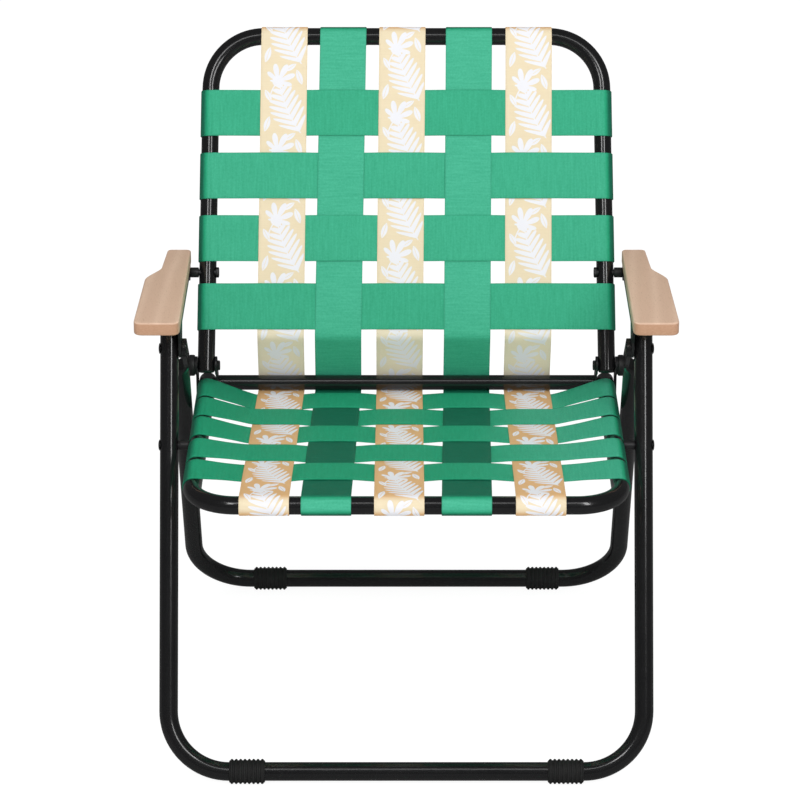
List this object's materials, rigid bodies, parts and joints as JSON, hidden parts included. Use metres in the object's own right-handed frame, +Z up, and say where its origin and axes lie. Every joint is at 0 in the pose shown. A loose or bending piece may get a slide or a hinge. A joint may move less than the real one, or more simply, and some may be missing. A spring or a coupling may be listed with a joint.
{
  "type": "folding lawn chair",
  "caption": "Folding lawn chair with a bent tube frame, woven webbing on the seat and back, flat wooden armrests and ribbed rubber feet; it folds flat on coupled pivots.",
  "frame": {"origin": "on the floor, at the middle of the outer box", "axes": "+Z up, +X towards a person's right who looks at the chair's front, +Y towards the chair's back; the chair faces -Y"},
  "size_m": [0.6348, 0.6174, 0.7176],
  "materials": {
    "tube": "gloss",
    "bracket": "satin",
    "steel": "satin",
    "plastic": "matte",
    "rubber": "matte",
    "wood": "satin",
    "green_webbing": "satin",
    "beige_webbing": "satin"
  },
  "bodies": {
    "front_legs": {"front_leg_frame": "tube", "leg_rivet_left": "steel", "seat_rivet_left": "steel", "seat_spacer_left": "plastic", "leg_plug_left": "plastic", "leg_rivet_right": "steel", "seat_rivet_right": "steel", "seat_spacer_right": "plastic", "leg_plug_right": "plastic", "front_foot_left": "rubber", "front_foot_right": "rubber"},
    "rear_legs": {"rear_leg_frame": "tube", "rear_foot_left": "rubber", "rear_foot_right": "rubber"},
    "seat": {"seat_frame": "tube", "seat_crossbar": "tube", "hinge_bracket_left": "bracket", "hinge_bolt_left": "steel", "hinge_disc_left": "plastic", "seat_plug_left": "plastic", "hinge_bracket_right": "bracket", "hinge_bolt_right": "steel", "hinge_disc_right": "plastic", "seat_plug_right": "plastic", "seat_long_strap_1": "beige_webbing", "seat_cross_strap_1": "green_webbing", "seat_long_strap_2": "green_webbing", "seat_cross_strap_2": "green_webbing", "seat_long_strap_3": "beige_webbing", "seat_cross_strap_3": "green_webbing", "seat_long_strap_4": "green_webbing", "seat_cross_strap_4": "green_webbing", "seat_long_strap_5": "beige_webbing", "seat_cross_strap_5": "green_webbing"},
    "back": {"back_frame": "tube", "back_plug_left": "plastic", "arm_bolt_left": "steel", "arm_spacer_left": "plastic", "back_plug_right": "plastic", "arm_bolt_right": "steel", "arm_spacer_right": "plastic", "back_long_strap_1": "beige_webbing", "back_long_strap_2": "green_webbing", "back_long_strap_3": "beige_webbing", "back_long_strap_4": "green_webbing", "back_long_strap_5": "beige_webbing", "back_cross_strap_1": "green_webbing", "back_cross_strap_2": "green_webbing", "back_cross_strap_3": "green_webbing", "back_cross_strap_4": "green_webbing"},
    "arms": {"arm_rail_left": "bracket", "armrest_left": "wood", "armrest_screw_front_left": "steel", "armrest_screw_rear_left": "steel", "arm_rail_right": "bracket", "armrest_right": "wood", "armrest_screw_front_right": "steel", "armrest_screw_rear_right": "steel"}
  },
  "joints": [
    {"name": "seat_pivot", "type": "hinge", "parent": "front_legs", "child": "seat", "pos_m": [0, -0.10509, 0.34789], "axis": [1, 0, 0], "range_deg": [-107, 0]},
    {"name": "back_pivot", "type": "hinge", "parent": "seat", "child": "back", "pos_m": [0, 0.08266, 0.35863], "axis": [1, 0, 0], "range_deg": [0, 107]},
    {"name": "arm_pivot", "type": "hinge", "parent": "front_legs", "child": "arms", "pos_m": [0, -0.04895, 0.44711], "axis": [1, 0, 0], "range_deg": [-107, 0]},
    {"name": "rear_leg_pivot", "type": "hinge", "parent": "front_legs", "child": "rear_legs", "pos_m": [0, -0.04895, 0.44711], "axis": [1, 0, 0], "range_deg": [-52, 0]}
  ],
  "couplings": [
    {"joint": "back_pivot", "follows": "seat_pivot", "ratio": -1},
    {"joint": "arm_pivot", "follows": "seat_pivot", "ratio": 1},
    {"joint": "rear_leg_pivot", "follows": "seat_pivot", "ratio": 0.485}
  ]
}
